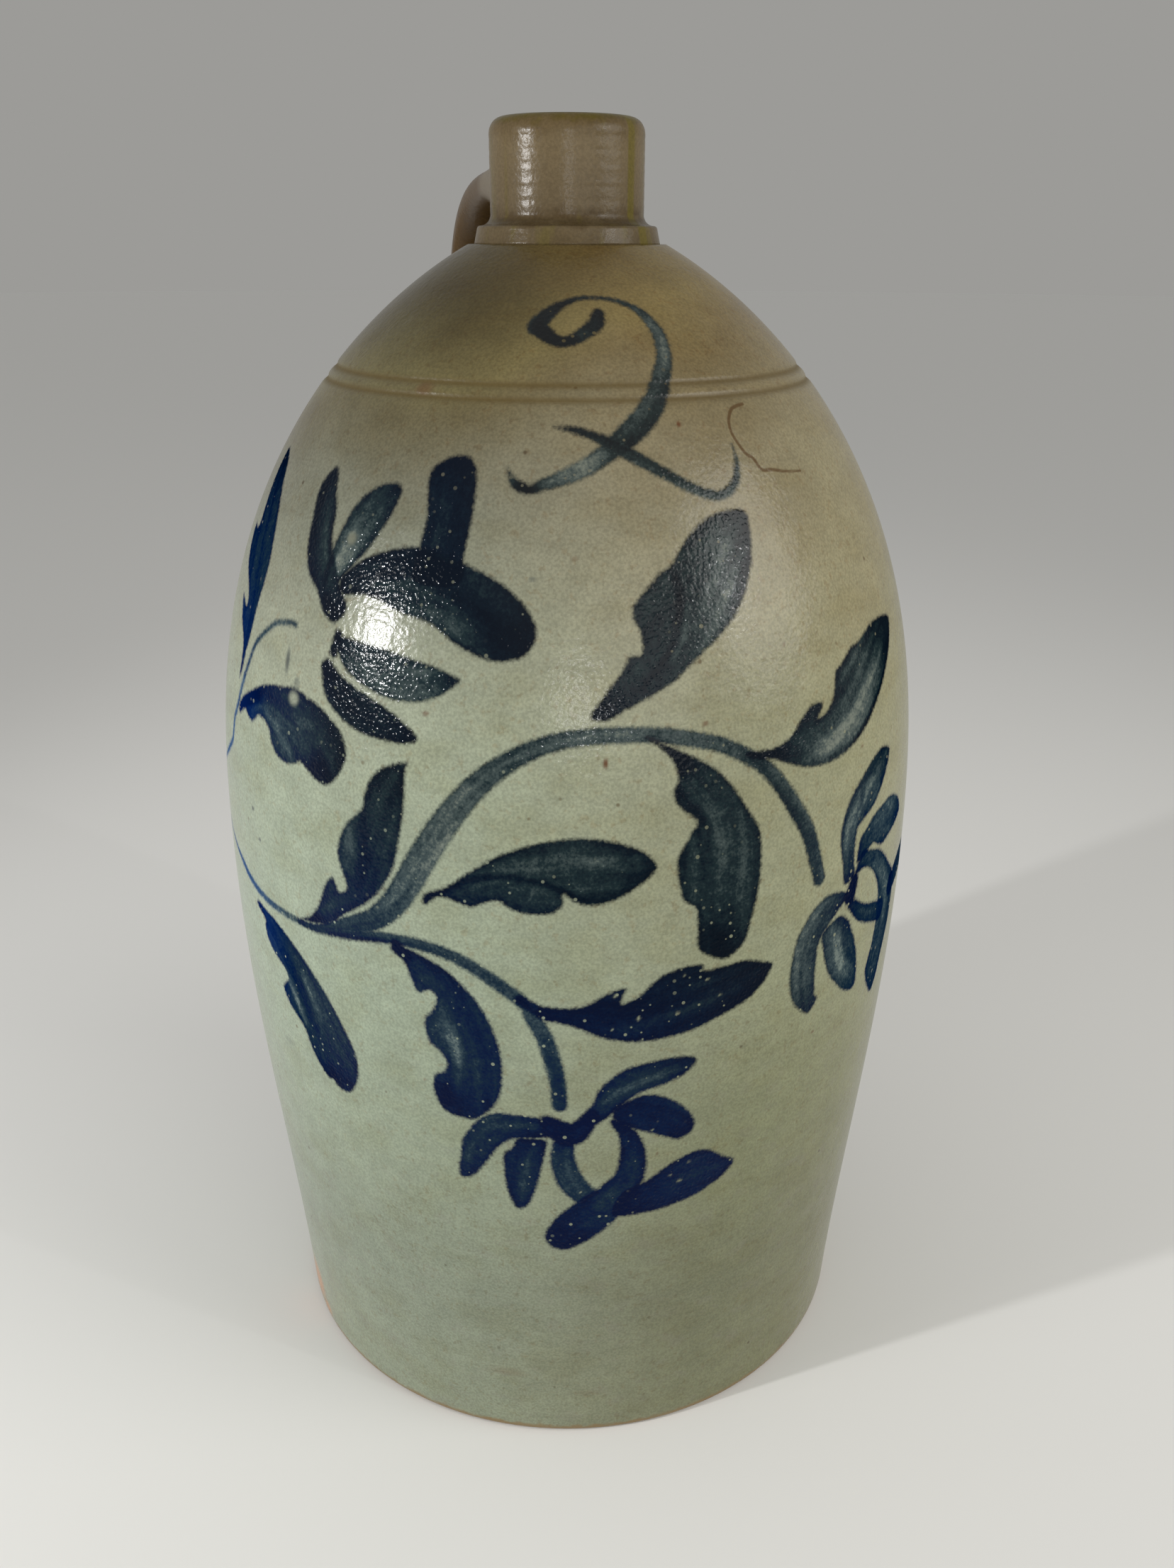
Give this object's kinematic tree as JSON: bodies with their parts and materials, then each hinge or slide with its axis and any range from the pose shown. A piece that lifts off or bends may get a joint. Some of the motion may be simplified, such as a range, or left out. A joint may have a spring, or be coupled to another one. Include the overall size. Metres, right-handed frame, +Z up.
{
  "type": "stoneware jug",
  "caption": "Ovoid thrown stoneware jug with a narrow collared neck, a rolled lip, a slip-lined inside and a strap handle from neck to shoulder.",
  "frame": {"origin": "centre of the flat base", "axes": "+Z up along the jug's turned axis, +Y towards the handle, -Y towards the painted front, +X to the right of someone facing the painted front"},
  "size_m": [0.208, 0.208, 0.3655],
  "materials": {
    "salt_glazed_clay": "salt glazed, orange peel, greenish grey-beige with cobalt brushwork",
    "toasted_clay": "salt glazed, glossier and browner where the flame reached it",
    "slip_glaze": "dark brown poured slip glaze, glossy"
  },
  "bodies": {
    "root": {"body": "salt_glazed_clay", "neck": "toasted_clay", "handle": "toasted_clay", "neck_luting": "toasted_clay", "shoulder_luting": "salt_glazed_clay", "slip_lining": "slip_glaze"}
  },
  "joints": []
}
